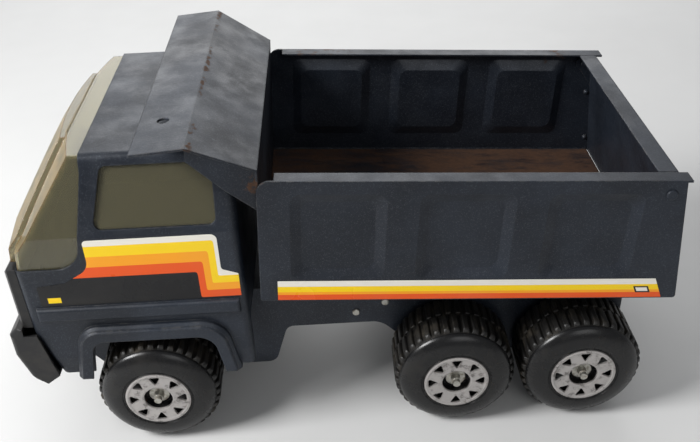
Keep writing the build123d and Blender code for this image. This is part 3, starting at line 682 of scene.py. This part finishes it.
# ---- mesh building ----
def smooth(mesh: bpy.types.Mesh, degrees: float = 32.0) -> None:
    """Shade a mesh smooth, with sharp edges where it turns by more than an angle."""
    for face in mesh.polygons:
        face.use_smooth = True
    mesh.set_sharp_from_angle(angle=math.radians(degrees))


def as_object(name: str, shape: bmesh.types.BMesh,
              materials: Sequence[bpy.types.Material]) -> bpy.types.Object:
    """Turn drawn geometry into an object at the origin.

    Args:
        name: The object's name.
        shape: Its geometry, freed here.
        materials: Its material slots.

    Returns:
        The object, in the scene.
    """
    bmesh.ops.remove_doubles(shape, verts=shape.verts, dist=1e-6)
    bmesh.ops.recalc_face_normals(shape, faces=shape.faces)
    mesh = bpy.data.meshes.new(name)
    shape.to_mesh(mesh)
    shape.free()
    for material in materials:
        mesh.materials.append(material)
    smooth(mesh)
    piece = bpy.data.objects.new(name, mesh)
    bpy.context.scene.collection.objects.link(piece)
    return piece


def turned(shape: bmesh.types.BMesh, profile: Sequence[tuple[float, float, int]], steps: int) -> None:
    """Turn a closed profile about the Y axis.

    Args:
        shape: Where the faces are added.
        profile: Radius, Y and material index of each corner.
        steps: Faces round the circle.
    """
    rings = []
    for step in range(steps):
        angle = math.tau * step / steps
        rings.append([shape.verts.new((r * math.cos(angle), y, r * math.sin(angle))) for r, y, _ in profile])
    for step in range(steps):
        here, there = rings[step], rings[(step + 1) % steps]
        for i, (_, _, material) in enumerate(profile):
            j = (i + 1) % len(profile)
            shape.faces.new((here[i], here[j], there[j], there[i])).material_index = material


def dress(names: Iterable[str], material: bpy.types.Material) -> None:
    """Give CAD nodes a better material.

    Args:
        names: The nodes.
        material: What they get.
    """
    for name in names:
        node = frame["nodes"][name]
        if not node.material_slots:
            node.data.materials.append(material)
        for place in node.material_slots:
            place.material = material
        LOG.info("dressed %s with %s", name, material.name)


@dataclass
class TreadLugs:
    """Two staggered rows of cross lugs round a tyre, laid out by Geometry Nodes."""

    per_row: int = 38
    base_radius: float = 30.1 * MM
    height: float = 1.85 * MM
    foot: float = 3.7 * MM
    crest: float = 2.7 * MM
    start: float = 0.25 * MM
    crest_end: float = 11.9 * MM
    end: float = 13.4 * MM
    bevel: float = 0.35 * MM
    seed: int = 11

    def lug(self) -> bpy.types.Mesh:
        """One lug, standing on Z = 0 and running along Y."""
        shape = bmesh.new()
        sunk = -0.5 * MM
        low, high = self.foot / 2, self.crest / 2
        rings = [
            [(-low, self.start, sunk), (low, self.start, sunk), (high, self.start, self.height),
             (-high, self.start, self.height)],
            [(-low, self.crest_end, sunk), (low, self.crest_end, sunk), (high, self.crest_end, self.height),
             (-high, self.crest_end, self.height)],
            [(-low, self.end, sunk), (low, self.end, sunk), (high * 0.9, self.end, self.height * 0.12),
             (-high * 0.9, self.end, self.height * 0.12)],
        ]
        verts = [[shape.verts.new(point) for point in ring] for ring in rings]
        for a, b in zip(verts, verts[1:]):
            for i in range(4):
                j = (i + 1) % 4
                shape.faces.new((a[i], a[j], b[j], b[i]))
        shape.faces.new(verts[0][::-1])
        shape.faces.new(verts[-1])
        crest = [e for e in shape.edges if max(v.co.z for v in e.verts) > 0]
        bmesh.ops.bevel(shape, geom=crest, offset=self.bevel, segments=1, affect="EDGES", profile=0.6)
        mesh = bpy.data.meshes.new("tread_lug")
        shape.to_mesh(mesh)
        shape.free()
        return mesh

    def tree(self, material: bpy.types.Material) -> tuple[bpy.types.NodeTree, dict[str, str]]:
        """The node tree that sets lugs round a circle.

        Args:
            material: The lugs' material.

        Returns:
            The tree, and the identifier of each named input.
        """
        tree = bpy.data.node_groups.new("tread_lug_rows", "GeometryNodeTree")
        make, link, face = tree.nodes.new, tree.links.new, tree.interface
        face.new_socket("Lug", in_out="INPUT", socket_type="NodeSocketGeometry")
        keys = {name: face.new_socket(name, in_out="INPUT", socket_type=kind).identifier
                for name, kind in (("Per row", "NodeSocketInt"), ("Base radius", "NodeSocketFloat"),
                                   ("Middle", "NodeSocketFloat"), ("Seed", "NodeSocketInt"))}
        face.new_socket("Tread", in_out="OUTPUT", socket_type="NodeSocketGeometry")
        given, result = make("NodeGroupInput"), make("NodeGroupOutput")

        def calc(operation: str, a: object, b: object = 0.0) -> bpy.types.NodeSocket:
            """Combine two values in the tree."""
            node = make("ShaderNodeMath")
            node.operation = operation
            for socket, value in zip(node.inputs, (a, b)):
                if isinstance(value, bpy.types.NodeSocket):
                    link(value, socket)
                else:
                    socket.default_value = value
            return node.outputs[0]

        index = make("GeometryNodeInputIndex").outputs[0]
        count = calc("MULTIPLY", given.outputs["Per row"], 2.0)
        angle = calc("MULTIPLY", index, calc("DIVIDE", math.tau, count))
        row = calc("SUBTRACT", calc("MULTIPLY", calc("MODULO", index, 2.0), 2.0), 1.0)
        points = make("GeometryNodePoints")
        link(count, points.inputs["Count"])
        place = make("ShaderNodeCombineXYZ")
        link(calc("MULTIPLY", given.outputs["Base radius"], calc("COSINE", angle)), place.inputs[0])
        link(given.outputs["Middle"], place.inputs[1])
        link(calc("MULTIPLY", given.outputs["Base radius"], calc("SINE", angle)), place.inputs[2])
        link(place.outputs[0], points.inputs["Position"])
        turn = make("ShaderNodeCombineXYZ")
        link(calc("SUBTRACT", math.pi / 2, angle), turn.inputs[1])
        worn = make("FunctionNodeRandomValue")
        worn.data_type = "FLOAT"
        floats = [s for s in worn.inputs if s.type == "VALUE"]
        floats[0].default_value, floats[1].default_value = 0.90, 1.0
        link(given.outputs["Seed"], worn.inputs["Seed"])
        size = make("ShaderNodeCombineXYZ")
        size.inputs[0].default_value = 1.0
        link(row, size.inputs[1])
        link([s for s in worn.outputs if s.type == "VALUE"][0], size.inputs[2])
        spread = make("GeometryNodeInstanceOnPoints")
        link(points.outputs[0], spread.inputs["Points"])
        link(given.outputs["Lug"], spread.inputs["Instance"])
        link(turn.outputs[0], spread.inputs["Rotation"])
        link(size.outputs[0], spread.inputs["Scale"])
        real, paint = make("GeometryNodeRealizeInstances"), make("GeometryNodeSetMaterial")
        link(spread.outputs[0], real.inputs[0])
        link(real.outputs[0], paint.inputs["Geometry"])
        paint.inputs["Material"].default_value = material
        link(paint.outputs[0], result.inputs[0])
        return tree, keys

    def mesh(self, middle: float, material: bpy.types.Material) -> bpy.types.Mesh:
        """All lugs of one tyre as a plain mesh about the Y axis.

        Args:
            middle: Y of the tread's middle.
            material: The lugs' material.

        Returns:
            The mesh.
        """
        holder = bpy.data.objects.new("lug_holder", self.lug())
        bpy.context.scene.collection.objects.link(holder)
        tree, keys = self.tree(material)
        modifier = holder.modifiers.new("rows", "NODES")
        modifier.node_group = tree
        for name, value in (("Per row", self.per_row), ("Base radius", self.base_radius),
                            ("Middle", middle), ("Seed", self.seed)):
            modifier[keys[name]] = value
        ready = holder.evaluated_get(bpy.context.evaluated_depsgraph_get())
        mesh = bpy.data.meshes.new_from_object(ready)
        holder.modifiers.remove(modifier)
        bpy.data.objects.remove(holder)
        return mesh


# ---- sub-assemblies ----
@dataclass
class Wheels:
    """Six moulded wheels: tyre carcass, tread lugs, and the CAD's hub discs."""

    tread: bpy.types.Material
    wall: bpy.types.Material
    hub: bpy.types.Material
    zinc: bpy.types.Material
    lugs: TreadLugs = field(default_factory=TreadLugs)
    steps: int = 96
    hub_radius: float = 17.0 * MM
    hole_radius: float = 7.4 * MM
    bore_radius: float = 2.46 * MM
    plate: float = 1.2 * MM
    boss_reach: float = 2.5 * MM
    wall_roll: float = 5.0 * MM

    def carcass(self, inner: float, boss: float, face: float,
                radius: float) -> list[tuple[float, float, int]]:
        """The profile of a wheel on the right side.

        Args:
            inner: Y of the tyre's inner face.
            boss: Y of the inner boss's end.
            face: Y of the outer face.
            radius: The wheel's outer radius.

        Returns:
            Radius, Y and material index of each corner: 0 side wall, 1 tread.
        """
        mm, hub = MM, self.hub_radius
        band = radius - 1.75 * mm
        shoulder = face - self.wall_roll
        seat, well = face - self.plate, face - self.wall_roll
        return [
            (band - 2.2 * mm, inner, 1), (band - 0.5 * mm, inner + 0.6 * mm, 1), (band, inner + 2.0 * mm, 1),
            (band + 0.25 * mm, inner + 9 * mm, 1), (band + 0.25 * mm, shoulder - 9 * mm, 1),
            (band, shoulder - 2.0 * mm, 1), (band - 0.5 * mm, shoulder + 0.2 * mm, 0),
            (band - 0.9 * mm, shoulder + 1.3 * mm, 0), (band - 1.9 * mm, shoulder + 2.3 * mm, 0),
            (band - 4.2 * mm, shoulder + 3.7 * mm, 0), (band - 7.2 * mm, shoulder + 4.6 * mm, 0),
            (band - 9.6 * mm, face - 0.12 * mm, 0), (hub + 2.4 * mm, face, 0),
            (hub + 1.6 * mm, face - 0.1 * mm, 0),
            (hub + 1.45 * mm, face - 0.5 * mm, 0), (hub + 1.0 * mm, face - 0.5 * mm, 0),
            (hub + 0.85 * mm, face - 0.1 * mm, 0), (hub + 0.5 * mm, face - 0.1 * mm, 0),
            (hub + 0.15 * mm, seat, 0), (hub - 1.5 * mm, seat, 0), (hub - 1.7 * mm, well, 0),
            (self.hole_radius + 1.2 * mm, well, 0), (self.hole_radius + 1.0 * mm, seat, 0),
            (self.hole_radius, seat, 0), (self.hole_radius - 0.2 * mm, shoulder, 0),
            (self.bore_radius, shoulder, 0), (self.bore_radius, boss, 0), (5.4 * mm, boss, 0),
            (5.6 * mm, inner + 3 * mm, 0), (hub + 3 * mm, inner + 3 * mm, 0),
            (hub + 5 * mm, inner + 0.3 * mm, 0),
            (band - 4.5 * mm, inner, 0),
        ]

    def build(self) -> None:
        """Make and place all six wheels."""
        for row in Row:
            for side in Side:
                self.wheel(row, side)
            dress([f"{row.value}_axle"], self.zinc)
        dress(["axle_push_nuts"], self.zinc)

    def wheel(self, row: Row, side: Side) -> None:
        """Make one wheel.

        Args:
            row: Its axle.
            side: Its side.
        """
        key = f"{row.value}_{side.word}"
        low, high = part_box(f"wheel_{key}")
        centre = Vector(((low.x + high.x) / 2, 0, (low.z + high.z) / 2))
        radius = (high.z - low.z) / 2 - 0.02 * MM
        boss, face = sorted((abs(low.y), abs(high.y)))
        inner = boss + self.boss_reach
        flip = Matrix.Diagonal((1, side.value, 1, 1))
        place = Matrix.Translation(centre) @ flip
        shape = bmesh.new()
        turned(shape, self.carcass(inner, boss, face, radius), self.steps)
        bmesh.ops.transform(shape, matrix=place, verts=shape.verts)
        tyre = as_object(f"tyre_{key}", shape, (self.wall, self.tread))
        middle = (inner + face - self.wall_roll) / 2
        shape = bmesh.new()
        shape.from_mesh(self.lugs.mesh(middle, self.tread))
        bmesh.ops.transform(shape, matrix=place, verts=shape.verts)
        tread = as_object(f"tread_lugs_{key}", shape, (self.tread,))
        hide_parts(f"wheel_{key}")
        for piece in (tyre, tread):
            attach(piece, f"{key}_wheel")
            LOG.info("built %s", piece.name)
        dress([f"hub_disc_{key}"], self.hub)


@dataclass
class Cab:
    """Cab shell, windows, grille and their printed panels."""

    enamel: bpy.types.Material
    window: bpy.types.Material
    black: bpy.types.Material
    zinc: bpy.types.Material

    def build(self) -> None:
        """Dress the cab."""
        dress(["cab_shell"], self.enamel)
        dress(["window_insert"], self.window)
        dress(["grille_bumper"], self.black)
        dress(["cab_rivets"], self.zinc)
        low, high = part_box("cab_stripe_left")
        panel = CabPanel("cab_panel_print", top=high.z, step=high.x - 8.0 * MM, shelf=low.z + 15.6 * MM,
                         front=low.x, low=low.z)
        dress([f"cab_stripe_{side.word}" for side in Side], panel.material())


@dataclass
class Chassis:
    """Frame, its crossmember and rivets, the bed's rest and the hinge rod."""

    enamel: bpy.types.Material
    zinc: bpy.types.Material

    def build(self) -> None:
        """Dress the chassis."""
        dress(["chassis_frame", "frame_crossmember", "bed_rest"], self.enamel)
        dress(["frame_rivets", "hinge_rod", "hinge_push_nuts"], self.zinc)


@dataclass
class TippingBed:
    """Bed, canopy, hinge bracket, tailgate and the bed's printed bands."""

    enamel: bpy.types.Material
    lift: float = 0.4 * MM
    band_high: float = 11.4 * MM
    ridge_back: float = 25.5 * MM

    def build(self) -> None:
        """Dress the bed and everything that tips with it."""
        mount = frame["record"]["mounts"][0]
        point, up = Vector(mount["pos_m"]), Vector(mount["axis"]).normalized()
        along = Vector((up.z, 0, -up.x))
        body = LoadedBedEnamel("bed_enamel", floor_point=tuple(point), floor_axis=tuple(up),
                               patches=self.rim_patches())
        dress(["bed_body"], body.material())
        dress(["bed_canopy"], Enamel("canopy_enamel", patches=self.canopy_patches(), chips=0.5).material())
        dress(["bed_hinge_bracket", "tailgate", "tailgate_pins"], self.enamel)
        low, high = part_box("bed_stripe_left")
        band = BedBand("bed_band_print", origin=tuple(point), up=tuple(up), along=tuple(along),
                       low=-self.lift, high=self.band_high - self.lift,
                       back=(Vector((high.x, 0, low.z)) - point).dot(along))
        dress([f"bed_stripe_{side.word}" for side in Side], band.material())
        LOG.info("dressed the bed, canopy, tailgate and bands")

    def rim_patches(self) -> tuple[RustPatch, ...]:
        """Rust on the bed's front corners and near the rear of the rim."""
        low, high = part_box("bed_body")
        return (RustPatch((low.x + 0.004, low.y, high.z), 0.005),
                RustPatch((high.x - 0.03, high.y, high.z - 0.012), 0.012),
                RustPatch((low.x + 0.05, high.y, high.z), 0.05, (0.9, 1.0, 12.0)))

    def canopy_patches(self) -> tuple[RustPatch, ...]:
        """Rust along the canopy's ridge and at its rear corners."""
        low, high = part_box("bed_canopy")
        ridge = low.x + self.ridge_back
        return (RustPatch((ridge, low.y + 0.012, high.z), 0.045, (14.0, 0.8, 8.0)),
                RustPatch((ridge, 0.0, high.z), 0.06, (26.0, 0.8, 12.0)),
                RustPatch((high.x - 0.003, low.y + 0.009, high.z - 0.024), 0.013),
                RustPatch((ridge, high.y - 0.01, high.z), 0.03, (12.0, 0.8, 6.0)))


@dataclass(frozen=True)
class SoftLight:
    """One square area light."""

    name: str
    place: Triple
    target: Triple
    size: float
    power: float


@dataclass
class Studio:
    """Pale floor, soft lights and the camera."""

    lights: tuple[SoftLight, ...] = (
        SoftLight("key", (-0.78, -0.30, 0.72), (0.0, 0.0, 0.08), 0.38, 15.0),
        SoftLight("fill", (0.35, -1.05, 0.75), (0.0, 0.0, 0.07), 0.6, 2.2),
        SoftLight("sheen", (0.0, 1.05, 0.85), (0.0, 0.0, 0.10), 1.3, 12.0),
    )
    sky: Colour = (0.83, 0.85, 0.88)
    sky_strength: float = 0.30
    floor_reach: float = 3.0

    position: Triple = (1.55 * MM, -405.4 * MM, 352.1 * MM)
    forward: Triple = (0.0120, 0.8328, -0.5534)
    up: Triple = (0.054, 0.553, 0.832)
    lens: float = 43.75

    def build(self) -> None:
        """Set up floor, lights and camera."""
        self.floor()
        for light in self.lights:
            self.light(light)
        world = bpy.data.worlds.new("studio")
        world.use_nodes = True
        world.node_tree.nodes["Background"].inputs[0].default_value = (*self.sky, 1)
        world.node_tree.nodes["Background"].inputs[1].default_value = self.sky_strength
        bpy.context.scene.world = world
        self.camera()

    def floor(self) -> None:
        """A wide pale floor with a faint unevenness."""
        sketch = NodeSketch("studio_floor")
        tone = sketch.mix(sketch.noise(0.12, 4), (0.56, 0.56, 0.555), (0.62, 0.62, 0.615))
        sketch.set(base_color=tone, roughness=sketch.span(sketch.noise(0.05, 3), 0.3, 0.7, 0.62, 0.74))
        shape = bmesh.new()
        bmesh.ops.create_grid(shape, x_segments=4, y_segments=4, size=self.floor_reach)
        sheet = as_object("studio_floor", shape, (sketch.material,))
        if sheet.data.polygons[0].normal.z < 0:
            sheet.data.flip_normals()

    def light(self, light: SoftLight) -> None:
        """Add one soft area light.

        Args:
            light: Its name, place, target, side in metres and power in watts.
        """
        data = bpy.data.lights.new(light.name, "AREA")
        data.size = light.size
        data.energy = light.power
        lamp = bpy.data.objects.new(light.name, data)
        lamp.location = light.place
        aim = Vector(light.target) - Vector(light.place)
        lamp.rotation_euler = aim.to_track_quat("-Z", "Y").to_euler()
        bpy.context.scene.collection.objects.link(lamp)

    def camera(self) -> None:
        """Add the camera and make it the scene's."""
        data = bpy.data.cameras.new("camera")
        data.lens = self.lens
        data.sensor_width = 36.0
        data.clip_start = 0.01
        back = -Vector(self.forward).normalized()
        right = Vector(self.up).cross(back).normalized()
        up = back.cross(right)
        eye = bpy.data.objects.new("camera", data)
        eye.matrix_world = Matrix.Translation(self.position) @ Matrix((right, up, back)).transposed().to_4x4()
        bpy.context.scene.collection.objects.link(eye)
        bpy.context.scene.camera = eye


def main() -> None:
    """Build and dress the whole truck."""
    logging.basicConfig(level=logging.INFO, format="%(message)s")
    enamel = Enamel().material()
    zinc = DullZinc().material()
    black = MouldedPlastic("black_moulding", gloss=0.38, dusty=0.35).material()
    wall = MouldedPlastic("tyre_side", base=(0.006, 0.006, 0.0065), gloss=0.26, dusty=0.15, grain=0.02 * MM)
    tread = MouldedPlastic("tyre_tread", base=(0.008, 0.0075, 0.007), dust=(0.050, 0.041, 0.029), gloss=0.42,
                           dusty=0.8, grain=0.05 * MM)
    Chassis(enamel, zinc).build()
    Cab(enamel, ClearPlastic().material(), black, zinc).build()
    TippingBed(enamel).build()
    Wheels(tread.material(), wall.material(), WornSilver().material(), zinc).build()
    Studio().build()
    bpy.context.scene.view_settings.view_transform = "Standard"


if __name__ == "__main__":
    main()
